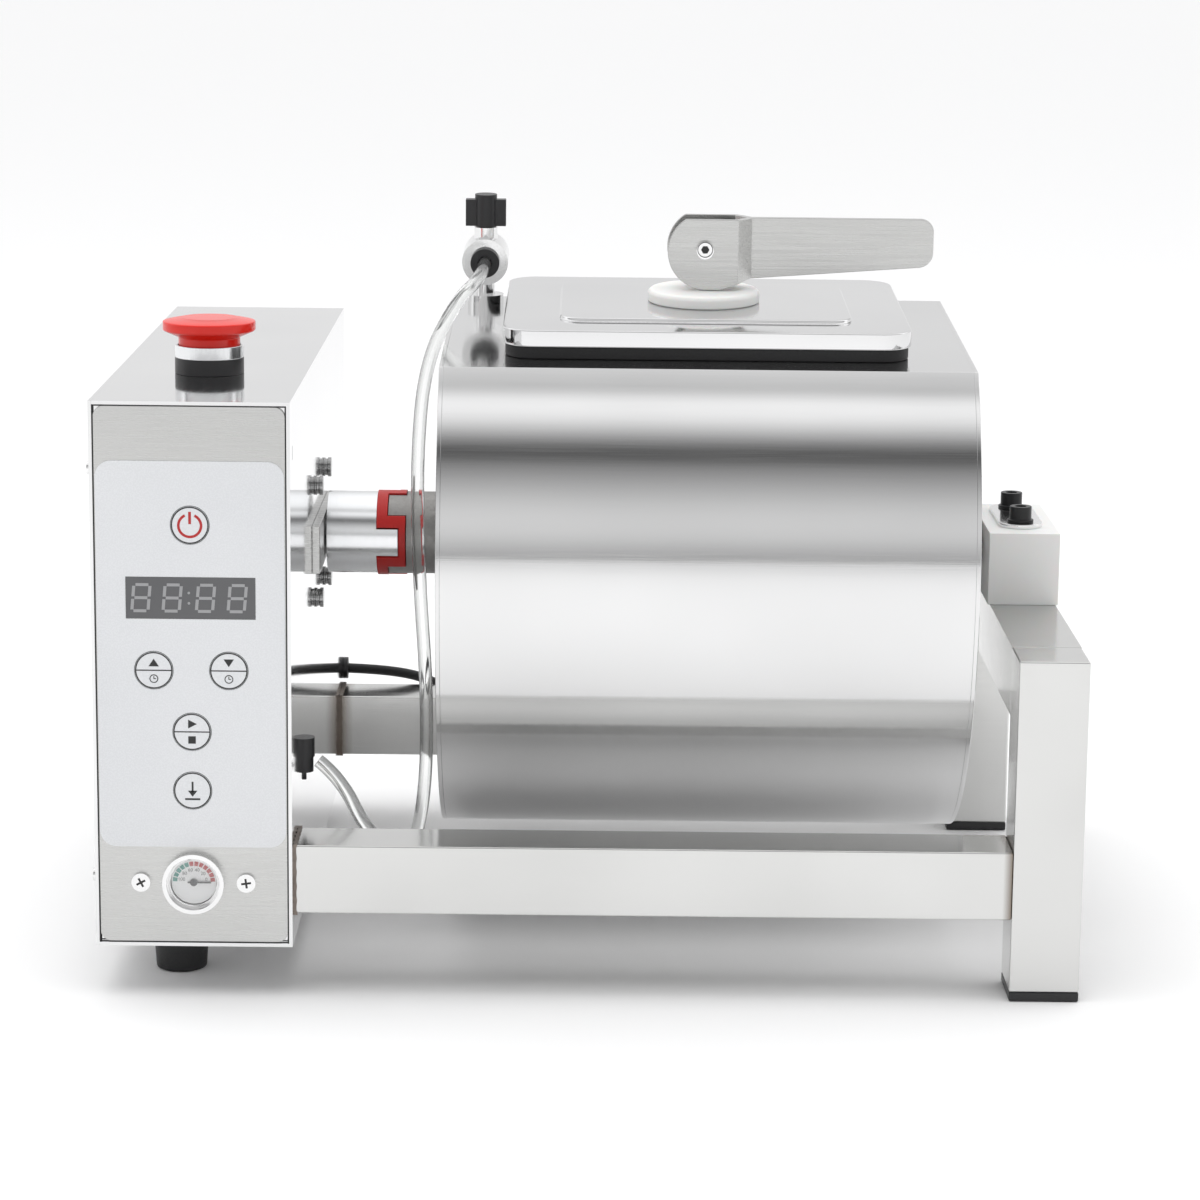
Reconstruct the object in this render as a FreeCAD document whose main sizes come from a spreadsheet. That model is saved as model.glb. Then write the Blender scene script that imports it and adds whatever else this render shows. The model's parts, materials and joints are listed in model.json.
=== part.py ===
import FreeCAD, Part
import os
import re
from math import cos, pi, radians, sin, tan
from FreeCAD import Placement, Rotation, Vector

# Table-top meat vacuum tumbler.  Frame: +X from the control box to the bearing
# frame, +Y to the back, +Z up, origin on the floor under the machine's middle.

doc = FreeCAD.newDocument("MeatVacuumTumbler")
sheet = doc.addObject("Spreadsheet::Sheet", "Sizes")

# ---------------------------------------------------------------- sizes, in mm
SIZES = [
    ("BoxLeft", -210.5, "outer face of the side cover, X"),
    ("BoxWidth", 84, "control box, X"),
    ("BoxFront", -163.5, "front face of the front panel, Y"),
    ("BoxDepth", 331, "control box, Y"),
    ("BoxBottom", 22, "underside of the control box, Z"),
    ("BoxHeight", 235, "control box, Z"),
    ("Gauge", 1.5, "sheet thickness of the box and the tubes"),
    ("LipWidth", 9, "return lips that carry the panel and the cover"),
    ("PanelGap", 0.4, "gap around the front panel"),
    ("PanelCorner", 5, "corner radius of the front panel"),
    ("FilmThick", 0.6, "keypad film"),
    ("FilmWidth", 79, "keypad film, X"),
    ("FilmLow", 66, "lower edge of the film, Z"),
    ("FilmHigh", 232, "upper edge of the film, Z"),
    ("FilmCorner", 7, "corner radius of the film"),
    ("PanelMidX", -168.5, "middle of the keypad and the gauge, X"),
    ("KeyRadius", 8, "membrane key"),
    ("KeyGap", 0.3, "gap around a key"),
    ("KeyTravel", 0.4, "stroke of a key"),
    ("PowerKeyZ", 205, "power key"),
    ("TimeKeyZ", 142.8, "time keys"),
    ("TimeKeyOffset", 15.8, "time keys, each side of the middle"),
    ("StartKeyZ", 116.3, "start and stop key"),
    ("PumpKeyZ", 90.7, "vacuum key"),
    ("WindowWidth", 54.4, "display window, X"),
    ("WindowHeight", 17.8, "display window, Z"),
    ("WindowZ", 173.9, "middle of the display window"),
    ("BoardGap", 8, "panel to circuit board"),
    ("BoardThick", 1.6, "circuit board"),
    ("DialZ", 50.3, "middle of the vacuum gauge"),
    ("DialRadius", 13.1, "bezel of the vacuum gauge"),
    ("DialProud", 4, "bezel in front of the panel"),
    ("DialBody", 11, "radius of the gauge behind the panel"),
    ("DialScrewOffset", 22.4, "gauge bracket screws, each side"),
    ("StopX", -169, "emergency stop, X"),
    ("StopY", -74, "emergency stop, Y"),
    ("StopBarrel", 11, "radius of the emergency stop's barrel"),
    ("StopCollar", 15.1, "radius of the collar and the ring"),
    ("StopHead", 20.3, "radius of the mushroom head"),
    ("StopTravel", 3, "stroke of the emergency stop"),
    ("AxisY", 1, "drum axis, Y"),
    ("AxisZ", 173, "drum axis, Z"),
    ("DrumTilt", 3, "how far the parked drum is rolled forward, degrees"),
    ("DrumLeft", -67.5, "outer face of the left end plate"),
    ("DrumLength", 234, "over the end plates"),
    ("DrumRadius", 132.5, "outside of the round wall"),
    ("DrumFlat", 95.5, "axis to the flat top"),
    ("DrumGauge", 1.5, "drum sheet"),
    ("EndGauge", 2, "end plates"),
    ("MouthX", 49.5, "middle of the mouth, X"),
    ("MouthLength", 150, "mouth, X"),
    ("MouthWidth", 112, "mouth, across"),
    ("MouthCorner", 14, "corner radius of the mouth"),
    ("NeckDepth", 14, "how far the neck reaches into the drum"),
    ("NeckLip", 3, "flange of the neck on the flat"),
    ("FitGap", 0.3, "clearance between loose pieces"),
    ("RunGap", 0.06, "radial clearance of a turning or sliding pin"),
    ("GasketHigh", 5.5, "gasket on the flat"),
    ("LidLength", 180.4, "lid, X"),
    ("LidWidth", 146, "lid, across"),
    ("LidCorner", 14, "corner radius of the lid"),
    ("LidHigh", 7.5, "height of the lid's edge"),
    ("LidGauge", 1.2, "lid sheet"),
    ("LidHem", 9, "turned-in hem under the lid"),
    ("PanelRise", 1.5, "raised field on the lid"),
    ("FieldLength", 130, "raised field, X"),
    ("FieldWidth", 98, "raised field, across"),
    ("PadRadius", 25.5, "white pad under the lever"),
    ("PadHigh", 6, "white pad"),
    ("SealClear", 1, "seal to the neck"),
    ("SealLow", 91, "underside of the seal, from the axis"),
    ("PlateThick", 3, "pressure plate"),
    ("StudRadius", 4, "lid stud"),
    ("PinHigh", 18.6, "lever pin above the pad"),
    ("PinRadius", 3, "lever pin"),
    ("CamRadius", 17.55, "rounded end of the lever"),
    ("CamShift", 0.75, "offset of the rounded end from the pin"),
    ("LeverReach", 104, "pin to the tip of the blade"),
    ("LeverHigh", 14, "pin to the top edge of the blade"),
    ("LeverOuter", 9, "half width over the two cheeks"),
    ("LeverGauge", 1.8, "cheek thickness"),
    ("BladeHalf", 1.5, "half thickness of the blade"),
    ("ValveX", -52, "valve, X"),
    ("ValveAcross", 70, "valve, across, from the axis"),
    ("ValveHigh", 117.5, "middle of the valve, from the axis"),
    ("ValveRadius", 10.8, "valve barrel"),
    ("ValveLength", 26, "valve barrel, across"),
    ("ValveTop", 148, "top of the valve handle, from the axis"),
    ("HoseRadius", 3, "vacuum hose, outside"),
    ("CordRadius", 2.5, "mains cord, outside"),
    ("CoilRadius", 27.5, "put-away cord, middle of the turns"),
    ("CoilThick", 7.3, "put-away cord, radius of the bundle"),
    ("TieThick", 0.6, "band round the put-away cord"),
    ("CoilX", 62, "put-away cord, X"),
    ("CoilY", 236, "put-away cord, Y"),
    ("TubeSize", 30, "square tube of the frame"),
    ("PostX", 181, "left face of the posts"),
    ("PostTop", 149.5, "top of the bearing frame"),
    ("FrameFront", -160, "front face of the front post"),
    ("FrameBack", 155.5, "back face of the rear post"),
    ("RailTop", 66, "top of the rails"),
    ("CapHigh", 4, "plastic cap under a post"),
    ("BlockLeft", 180, "bearing block, X"),
    ("BlockWidth", 32, "bearing block, X"),
    ("BlockDepth", 79, "bearing block, Y"),
    ("BlockHigh", 33, "bearing block, Z"),
    ("JournalRadius", 7, "drum journal"),
    ("StrapThick", 2, "strap over the block"),
    ("BearScrewGap", 38, "between the strap screws"),
    ("HubRadius", 19, "coupling hubs"),
    ("HubLength", 23, "motor side hub, without jaws"),
    ("HubStart", 4.3, "motor side hub to the box wall"),
    ("SpiderLength", 13.5, "between the two hubs"),
    ("SpiderBore", 8, "hole in the spider"),
    ("JawLength", 9.8, "motor side jaws"),
    ("DrumJawLength", 8.3, "drum side jaws"),
    ("JawAngle", 40, "one jaw, degrees"),
    ("ShaftRadius", 6, "output shaft"),
    ("MotorBolt", 26, "motor bolts, from the axis both ways"),
    ("GearSize", 62, "gearbox, square"),
    ("GearDeep", 38, "gearbox, X"),
    ("MotorRadius", 26, "motor can"),
    ("MotorLength", 92, "motor can"),
    ("FootRadius", 12.5, "rubber foot at the top"),
    ("FootInset", 44, "feet, from the box's front and back"),
    ("FootX", -179, "feet, X"),
]
for row, (alias, value, note) in enumerate(SIZES, 1):
    sheet.set("A%d" % row, alias)
    sheet.set("B%d" % row, str(value))
    sheet.set("C%d" % row, note)
    sheet.setAlias("B%d" % row, alias)
doc.recompute()
size = {alias: float(sheet.get(alias)) for alias, value, note in SIZES}

# Positions that several pieces share, as expressions on the sheet.
WALL_X = "(BoxLeft + BoxWidth)"
SHELL_X = "(BoxLeft + Gauge)"
BOX_TOP = "(BoxBottom + BoxHeight)"
BOX_BACK = "(BoxFront + BoxDepth)"
PANEL_BACK = "(BoxFront + Gauge)"
FILM_FRONT = "(BoxFront - FilmThick)"
BOARD_FRONT = "(BoxFront + Gauge + BoardGap)"
DRUM_RIGHT = "(DrumLeft + DrumLength)"
FLAT = "(AxisZ + DrumFlat)"
LID_LOW = "(AxisZ + DrumFlat + GasketHigh)"
LID_TOP = "(AxisZ + DrumFlat + GasketHigh + LidHigh)"
PAD_LOW = "(AxisZ + DrumFlat + GasketHigh + LidHigh + PanelRise)"
PIN_Z = "(AxisZ + DrumFlat + GasketHigh + LidHigh + PanelRise + PadHigh + PinHigh)"
HUB_FACE = "(BoxLeft + BoxWidth + HubStart + HubLength)"
BLOCK_TOP = "(PostTop + BlockHigh)"
MOUTH_IN_L = "(MouthLength - 2 * FitGap - 2 * Gauge)"
MOUTH_IN_W = "(MouthWidth - 2 * FitGap - 2 * Gauge)"

AXES = {
    "X": Rotation(Vector(0, 1, 0), 90),
    "Y": Rotation(Vector(1, 0, 0), -90),
    "Z": Rotation(),
}
NODES = {}


def on_sheet(text):
    """Point every word of an expression at its cell of the sheet."""
    return re.sub(r"\b([A-Z][A-Za-z]+)\b", r"Sizes.\1", str(text))


def put(obj, x, y, z, axis="Z", turn=0):
    obj.Placement = Placement(Vector(), AXES[axis] * Rotation(Vector(0, 0, 1), turn))
    for key, text in (("x", x), ("y", y), ("z", z)):
        obj.setExpression("Placement.Base." + key, on_sheet(text))
    return obj


def box(x, y, z, length, width, height):
    obj = doc.addObject("Part::Box", "Box")
    for key, text in (("Length", length), ("Width", width), ("Height", height)):
        obj.setExpression(key, on_sheet(text))
    return put(obj, x, y, z)


def span(x0, x1, y0, y1, z0, z1):
    """A box between two corners."""
    return box(x0, y0, z0, "%s - %s" % (x1, par(x0)), "%s - %s" % (y1, par(y0)),
               "%s - %s" % (z1, par(z0)))


def par(text):
    return "(%s)" % text


def rod(radius, height, x, y, z, axis="Z", angle=None, turn=0):
    obj = doc.addObject("Part::Cylinder", "Rod")
    obj.setExpression("Radius", on_sheet(radius))
    obj.setExpression("Height", on_sheet(height))
    if angle:
        obj.setExpression("Angle", on_sheet(angle))
    return put(obj, x, y, z, axis, turn)


def cone(radius_low, radius_high, height, x, y, z, axis="Z"):
    obj = doc.addObject("Part::Cone", "Cone")
    for key, text in (("Radius1", radius_low), ("Radius2", radius_high), ("Height", height)):
        obj.setExpression(key, on_sheet(text))
    return put(obj, x, y, z, axis)


def fuse(*parts):
    obj = doc.addObject("Part::MultiFuse", "Union")
    obj.Shapes = list(parts)
    obj.Refine = True
    return obj


def cut(base, *tools):
    obj = doc.addObject("Part::Cut", "Less")
    obj.Base = base
    obj.Tool = fuse(*tools) if len(tools) > 1 else tools[0]
    return obj


def common(first, second):
    obj = doc.addObject("Part::Common", "Both")
    obj.Base, obj.Tool = first, second
    return obj


def slab(mid_x, mid_y, z0, length, width, height, corner):
    """A plate lying flat, with four rounded corners."""
    x0, y0 = "%s - (%s) / 2" % (mid_x, length), "%s - (%s) / 2" % (mid_y, width)
    x1, y1 = "%s + (%s) / 2" % (mid_x, length), "%s + (%s) / 2" % (mid_y, width)
    parts = [box("%s + %s" % (x0, corner), y0, z0, "%s - 2 * (%s)" % (length, corner), width, height),
             box(x0, "%s + %s" % (y0, corner), z0, length, "%s - 2 * (%s)" % (width, corner), height)]
    for x, sx in ((x0, "+"), (x1, "-")):
        for y, sy in ((y0, "+"), (y1, "-")):
            parts.append(rod(corner, height, "%s %s %s" % (x, sx, corner),
                             "%s %s %s" % (y, sy, corner), z0))
    return fuse(*parts)


def panel(mid_x, y0, z0, z1, width, thick, corner):
    """A plate standing in the XZ plane, with four rounded corners."""
    x0, x1 = "%s - (%s) / 2" % (mid_x, width), "%s + (%s) / 2" % (mid_x, width)
    high = "%s - (%s)" % (z1, z0)
    parts = [box("%s + %s" % (x0, corner), y0, z0, "%s - 2 * (%s)" % (width, corner), thick, high),
             box(x0, y0, "%s + %s" % (z0, corner), width, thick, "%s - 2 * (%s)" % (high, corner))]
    for x, sx in ((x0, "+"), (x1, "-")):
        for z, sz in ((z0, "+"), (z1, "-")):
            parts.append(rod(corner, thick, "%s %s %s" % (x, sx, corner), y0,
                             "%s %s %s" % (z, sz, corner), "Y"))
    return fuse(*parts)


def node(label, *parts):
    """Name a finished piece; several solids become one group."""
    obj = parts[0]
    if len(parts) > 1 or obj.TypeId in ("Part::Box", "Part::Cylinder", "Part::Cone"):
        obj = doc.addObject("Part::Compound", "Group")
        obj.Links = list(parts)
    obj.Label = label
    NODES[label] = obj
    return obj


def rolled(label, *parts):
    """A piece of the drum: rolled with it about the drum axis."""
    obj = node(label, *parts)
    obj.Placement = Placement(Vector(), Rotation(Vector(1, 0, 0), size["DrumTilt"]),
                              Vector(0, size["AxisY"], size["AxisZ"]))
    return obj


def screw(x, y, z, axis, head_radius, head_high, shank_radius, shank_length, way):
    """A cap screw whose head stands on the given point, the head towards way."""
    back = {1: "", -1: " - (%s)" % shank_length}[-way]
    head_at = {1: "", -1: " - (%s)" % head_high}[way]
    place = {"X": lambda add: (x + add, y, z), "Y": lambda add: (x, y + add, z),
             "Z": lambda add: (x, y, z + add)}[axis]
    return fuse(rod(head_radius, head_high, *place(head_at), axis=axis),
                rod(shank_radius, shank_length, *place(back), axis=axis))


# ================================================================ control box
cavity = span(SHELL_X + " + Gauge", WALL_X + " - Gauge", PANEL_BACK + " + Gauge", BOX_BACK + " - Gauge",
              "BoxBottom + Gauge", BOX_TOP + " - Gauge")
front_recess = span(SHELL_X + " - 1", WALL_X + " - Gauge", "BoxFront - 1", PANEL_BACK,
                    "BoxBottom + Gauge", BOX_TOP + " - Gauge")
front_opening = span(SHELL_X + " + LipWidth", WALL_X + " - LipWidth", "BoxFront - 1", PANEL_BACK + " + 9",
                     "BoxBottom + LipWidth", BOX_TOP + " - LipWidth")
side_opening = span(SHELL_X + " - 1", SHELL_X + " + 9", "BoxFront + LipWidth", BOX_BACK + " - LipWidth",
                    "BoxBottom + LipWidth", BOX_TOP + " - LipWidth")
bolt_yz = [("AxisY %s MotorBolt" % a, "AxisZ %s MotorBolt" % b) for a in "-+" for b in "-+"]
HOSE_Y, HOSE_Z = "(BoxFront + 65.5)", "(BoxBottom + 69)"
CORD_Y, CORD_Z = "(BoxFront + BoxDepth - 9)", "(RailTop + 7.5)"
wall_holes = [rod(2.7, 9, WALL_X + " - 5", y, z, "X") for y, z in bolt_yz]
wall_holes += [
    rod("StopBarrel + FitGap", 9, "StopX", "StopY", BOX_TOP + " - 5"),
    rod(9, 9, WALL_X + " - 5", "AxisY", "AxisZ", "X"),
    rod(2.3, 9, WALL_X + " - 5", HOSE_Y, HOSE_Z, "X"),
    rod(4.3, 9, WALL_X + " - 5", CORD_Y, CORD_Z, "X"),
    span(WALL_X + " - 5", WALL_X + " + 5", "BoxFront + 11.6", "BoxFront + 12.8", BOX_TOP + " - 26",
         BOX_TOP + " - 20"),
]
foot_y = ("BoxFront + FootInset", BOX_BACK + " - FootInset")
cover_points = [(y, z) for y in ("BoxFront + 5", BOX_BACK + " - 5")
                for z in ("BoxBottom + 30", BOX_TOP + " - 29")]
wall_holes += [rod(1.7, 9, SHELL_X + " - 5", y, z, "X") for y, z in cover_points]
shell = span(SHELL_X, WALL_X, "BoxFront - 0.2", BOX_BACK, "BoxBottom", BOX_TOP)
node("housing_shell", cut(shell, cavity, front_recess, front_opening, side_opening, *wall_holes))

cover = span("BoxLeft", SHELL_X, "BoxFront - 0.2", BOX_BACK, "BoxBottom", BOX_TOP)
node("side_cover", cut(cover, *[rod(1.7, 9, "BoxLeft - 5", y, z, "X") for y, z in cover_points]))
node("side_cover_screws", *[screw("BoxLeft", y, z, "X", 2.8, 1.4, 1.5, 6, -1) for y, z in cover_points])

# front panel with its film, keys, window and circuit board
panel_mid = "(BoxLeft + Gauge + BoxWidth / 2 - Gauge)"
KEYS = [
    ("key_power", "PanelMidX", "PowerKeyZ"),
    ("key_time_up", "PanelMidX - TimeKeyOffset", "TimeKeyZ"),
    ("key_time_down", "PanelMidX + TimeKeyOffset", "TimeKeyZ"),
    ("key_start_stop", "PanelMidX", "StartKeyZ"),
    ("key_vacuum", "PanelMidX", "PumpKeyZ"),
]
dial_screws = ["PanelMidX - DialScrewOffset", "PanelMidX + DialScrewOffset"]
front = panel(panel_mid, "BoxFront", "(BoxBottom + Gauge + PanelGap)", "(%s - Gauge - PanelGap)" % BOX_TOP,
              "(BoxWidth - 2 * Gauge - 2 * PanelGap)", "Gauge", "PanelCorner")
panel_holes = [rod("KeyRadius + KeyGap + 0.5", 9, x, "BoxFront - 5", z, "Y") for name, x, z in KEYS]
panel_holes += [rod(2.2, 9, x, "BoxFront - 5", "DialZ", "Y") for x in dial_screws]
panel_holes += [
    rod("DialBody + FitGap", 9, "PanelMidX", "BoxFront - 5", "DialZ", "Y"),
    span("PanelMidX - WindowWidth / 2 + 1", "PanelMidX + WindowWidth / 2 - 1", "BoxFront - 5", "BoxFront + 5",
         "WindowZ - WindowHeight / 2 + 1", "WindowZ + WindowHeight / 2 - 1"),
]
node("front_panel", cut(front, *panel_holes))

film = panel("PanelMidX", FILM_FRONT, "FilmLow", "FilmHigh", "FilmWidth", "FilmThick", "FilmCorner")
film_holes = [rod("KeyRadius + KeyGap", 9, x, "BoxFront - 5", z, "Y") for name, x, z in KEYS]
film_holes.append(span("PanelMidX - WindowWidth / 2 - 0.1", "PanelMidX + WindowWidth / 2 + 0.1",
                       "BoxFront - 5", "BoxFront + 5", "WindowZ - WindowHeight / 2 - 0.1",
                       "WindowZ + WindowHeight / 2 + 0.1"))
node("keypad_film", cut(film, *film_holes))
node("display_window", box("PanelMidX - WindowWidth / 2", FILM_FRONT, "WindowZ - WindowHeight / 2",
                           "WindowWidth", "FilmThick", "WindowHeight"))
STEM = "(Gauge + BoardGap - 4 - 0.5)"
for name, x, z in KEYS:
    node(name, fuse(rod("KeyRadius", "FilmThick + 0.2", x, FILM_FRONT + " - 0.2", z, "Y"),
                    rod(2.5, STEM, x, "BoxFront", z, "Y")))
board_mid_z = "((PowerKeyZ + PumpKeyZ) / 2)"
board = span("PanelMidX - 30", "PanelMidX + 30", BOARD_FRONT, BOARD_FRONT + " + BoardThick",
             "PumpKeyZ - 14", "PowerKeyZ + 14")
board_parts = [rod(3, "BoardGap", "PanelMidX %s 26" % a, PANEL_BACK, "%s %s" % (z, b), "Y")
               for a in "-+" for z, b in (("PumpKeyZ", "- 10"), ("PowerKeyZ", "+ 10"))]
board_parts += [box("%s - 3" % x, BOARD_FRONT + " - 4", "%s - 3" % z, 6, 4, 6) for name, x, z in KEYS]
board_parts.append(box("PanelMidX - 25", PANEL_BACK, "WindowZ - 7", 50, "BoardGap", 14))
node("control_board", fuse(board, *board_parts))

# vacuum gauge
case = fuse(rod("DialRadius", "DialProud", "PanelMidX", "BoxFront - DialProud", "DialZ", "Y"),
            rod("DialBody", 22, "PanelMidX", "BoxFront", "DialZ", "Y"),
            span("PanelMidX - DialScrewOffset - 6", "PanelMidX + DialScrewOffset + 6", PANEL_BACK,
                 PANEL_BACK + " + 2", "DialZ - 7", "DialZ + 7"),
            rod(5, 12, "PanelMidX", "BoxFront + 20", "DialZ", "Y"))
node("gauge_case", cut(case, rod("DialRadius - 1.8", 3, "PanelMidX", "BoxFront - DialProud", "DialZ", "Y"),
                       rod("DialRadius - 3.2", 5, "PanelMidX", "BoxFront - DialProud + 2", "DialZ", "Y"),
                       *[rod(2.2, 9, x, "BoxFront - 1", "DialZ", "Y") for x in dial_screws]))
node("gauge_dial", cut(rod("DialRadius - 3.5", 0.6, "PanelMidX", "BoxFront + 0.4", "DialZ", "Y"),
                       rod(0.9, 3, "PanelMidX", "BoxFront - 1", "DialZ", "Y")))
needle = fuse(rod(1.6, 0.8, "PanelMidX", "BoxFront - 0.8", "DialZ", "Y"),
              rod(0.6, 1.5, "PanelMidX", "BoxFront - 0.5", "DialZ", "Y"),
              span("PanelMidX - 2.6", "PanelMidX + 7.4", "BoxFront - 0.7", "BoxFront - 0.1", "DialZ - 0.3",
                   "DialZ + 0.3"))
node("gauge_needle", needle)
node("gauge_lens", rod("DialRadius - 2.1", 0.8, "PanelMidX", "BoxFront - DialProud + 2.2", "DialZ", "Y"))
node("gauge_screws", *[screw(x, "BoxFront", "DialZ", "Y", 4, 1.6, 2, 9, -1) for x in dial_screws])

# emergency stop on the top
node("estop_collar", cut(rod("StopCollar", 7, "StopX", "StopY", BOX_TOP),
                         rod("StopBarrel + FitGap", 9, "StopX", "StopY", BOX_TOP + " - 1")))
ring = fuse(rod("StopCollar", 5.6, "StopX", "StopY", BOX_TOP + " + 7"),
            rod("StopBarrel", 32, "StopX", "StopY", BOX_TOP + " - 25"))
node("estop_ring", cut(ring, rod("StopBarrel - 2.5", 60, "StopX", "StopY", BOX_TOP + " - 30"),
                       rod("StopCollar - 1.2", 9, "StopX", "StopY", BOX_TOP + " + 8.5")))
node("estop_stem", fuse(rod("StopBarrel - 2.5 - RunGap", 37, "StopX", "StopY", BOX_TOP + " - 22"),
                        rod(5, 4, "StopX", "StopY", BOX_TOP + " + 15")))
head = fuse(rod("StopCollar - 1.6", 4, "StopX", "StopY", BOX_TOP + " + 12"),
            cone("StopCollar - 1.6", "StopHead", 3, "StopX", "StopY", BOX_TOP + " + 15.9"),
            rod("StopHead", 4, "StopX", "StopY", BOX_TOP + " + 18.9"),
            cone("StopHead", "StopCollar - 3", 1.6, "StopX", "StopY", BOX_TOP + " + 22.9"))
node("estop_head", cut(head, rod("5 + RunGap", 7, "StopX", "StopY", BOX_TOP + " + 12.3"),
                       rod("StopBarrel - 2.2", 4, "StopX", "StopY", BOX_TOP + " + 11.3")))
stop_nut = cut(rod(15, "25 - Gauge", "StopX", "StopY", BOX_TOP + " - 25"),
               rod("StopBarrel + FitGap", 30, "StopX", "StopY", BOX_TOP + " - 25"))
node("estop_contacts", fuse(box("StopX - 15", "StopY - 15", BOX_TOP + " - 58", 30, 30, 33), stop_nut,
                            box("StopX - 9", "StopY - 9", BOX_TOP + " - 62", 18, 18, 5)))

# drive: right-angle gearmotor, shaft and motor-side hub
gear = span(WALL_X + " - Gauge - GearDeep", WALL_X + " - Gauge", "AxisY - GearSize / 2",
            "AxisY + GearSize / 2", "AxisZ - GearSize / 2", "AxisZ + GearSize / 2")
motor_x = "(BoxLeft + BoxWidth - Gauge - GearDeep / 2 - 8)"
gear = fuse(gear, rod("MotorRadius", "MotorLength + GearSize / 2", motor_x, "AxisY", "AxisZ", "Y"),
            rod(8, "MotorLength + GearSize / 2 + 6", motor_x, "AxisY", "AxisZ", "Y"))
node("gearmotor", cut(gear, rod("ShaftRadius + RunGap", 30, WALL_X + " - Gauge - 25", "AxisY", "AxisZ", "X"),
                      *[rod(2.7, 16, WALL_X + " - Gauge - 15", y, z, "X") for y, z in bolt_yz]))
bolts = []
for y, z in bolt_yz:
    bolts.append(fuse(rod(4.4, 0.8, WALL_X, y, z, "X"), rod(3.9, 1.2, WALL_X + " + 0.8", y, z, "X"),
                      rod(4.5, 1.6, WALL_X + " + 2", y, z, "X"),
                      rod(2.5, 16, WALL_X + " - 14", y, z, "X")))
node("motor_bolts", *bolts)
plate = span(WALL_X, WALL_X + " + 3.5", "AxisY - 48", "AxisY + 48", "AxisZ - 11", "AxisZ + 11")
node("shaft_plate", cut(plate, rod("ShaftRadius + 2", 9, WALL_X + " - 1", "AxisY", "AxisZ", "X")))


def jaw(x, length, middle):
    pie = rod("HubRadius", length, x, "AxisY", "AxisZ", "X", angle="JawAngle",
              turn=middle - size["JawAngle"] / 2)
    return cut(pie, rod("SpiderBore + 2", "%s + 2" % length, x + " - 1", "AxisY", "AxisZ", "X"))


MOTOR_JAWS = (276, 36, 156)
DRUM_JAWS = (336, 96, 216)
hub = fuse(rod("HubRadius", "HubLength", HUB_FACE + " - HubLength", "AxisY", "AxisZ", "X"),
           rod("ShaftRadius", "HubStart + 24", WALL_X + " - 23", "AxisY", "AxisZ", "X"),
           *[jaw(HUB_FACE, "JawLength", middle) for middle in MOTOR_JAWS])
node("drive_hub", hub)
DRUM_HUB_FACE = "(BoxLeft + BoxWidth + HubStart + HubLength + SpiderLength)"


def pocket(x, length, middle):
    pie = rod("HubRadius + 5", length, x, "AxisY", "AxisZ", "X", angle="JawAngle + 3",
              turn=middle - size["JawAngle"] / 2 - 1.5)
    return cut(pie, rod("SpiderBore + 1.7", "%s + 2" % length, x + " - 1", "AxisY", "AxisZ", "X"))


spider = rod("HubRadius + 0.7", "SpiderLength - FitGap", HUB_FACE, "AxisY", "AxisZ", "X")
pockets = [pocket(HUB_FACE + " - 1", "JawLength + 1 + FitGap", middle) for middle in MOTOR_JAWS]
pockets += [pocket(DRUM_HUB_FACE + " - DrumJawLength - FitGap", "DrumJawLength + 2", middle)
            for middle in DRUM_JAWS]
node("coupling_spider", cut(spider, rod("SpiderBore", 30, HUB_FACE + " - 5", "AxisY", "AxisZ", "X"), *pockets))

# ======================================================================= drum
hub_parts = [rod("HubRadius", "DrumLeft - %s" % par(DRUM_HUB_FACE + " + 3"), DRUM_HUB_FACE, "AxisY", "AxisZ", "X"),
             rod(26, 3, "DrumLeft - 3", "AxisY", "AxisZ", "X")]
hub_parts += [jaw(DRUM_HUB_FACE + " - DrumJawLength", "DrumJawLength", middle) for middle in DRUM_JAWS]
node("drum_hub", fuse(*hub_parts))


def drum_profile(x, length, inset):
    """The drum's section: a circle with its top cut flat."""
    circle = rod("DrumRadius - %s" % inset, length, x, "AxisY", "AxisZ", "X")
    return cut(circle, box(x + " - 1", "AxisY - 200", FLAT + " - %s" % inset, "%s + 2" % length, 400, 100))


skin = drum_profile("DrumLeft + EndGauge", "DrumLength - 2 * EndGauge", "0")
hollow = drum_profile("DrumLeft", "DrumLength", "DrumGauge")
mouth = slab("MouthX", "AxisY", FLAT + " - 20", "MouthLength", "MouthWidth", "40", "MouthCorner")
valve_hole = rod(3.3, 20, "ValveX", "AxisY + ValveAcross", FLAT + " - 10")
rolled("drum_shell", cut(skin, hollow, mouth, valve_hole))
rolled("drum_end_plates", drum_profile("DrumLeft", "EndGauge", "0"),
       drum_profile(DRUM_RIGHT + " - EndGauge", "EndGauge", "0"))
rib_low = "AxisZ - DrumRadius + DrumGauge + FitGap"
rib = span("DrumLeft + EndGauge", DRUM_RIGHT + " - EndGauge", "AxisY - 1", "AxisY + 1",
           rib_low + " + 0.1", "AxisZ - DrumRadius + 28")
fin = span("DrumLeft + EndGauge", DRUM_RIGHT + " - EndGauge", "AxisY - 1", "AxisY + 13",
           "AxisZ - DrumRadius + 26", "AxisZ - DrumRadius + 28")
rolled("drum_paddle", fuse(rib, fin))
neck = fuse(slab("MouthX", "AxisY", FLAT, "(MouthLength + 2 * NeckLip)", "(MouthWidth + 2 * NeckLip)", "1.2",
                 "(MouthCorner + NeckLip)"),
            slab("MouthX", "AxisY", FLAT + " - NeckDepth", "(MouthLength - 2 * FitGap)",
                 "(MouthWidth - 2 * FitGap)", "(NeckDepth + 0.6)", "(MouthCorner - FitGap)"))
neck_bore = slab("MouthX", "AxisY", FLAT + " - 30", MOUTH_IN_L, MOUTH_IN_W, "50",
                 "(MouthCorner - FitGap - Gauge)")
rolled("mouth_neck", cut(neck, neck_bore))
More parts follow.
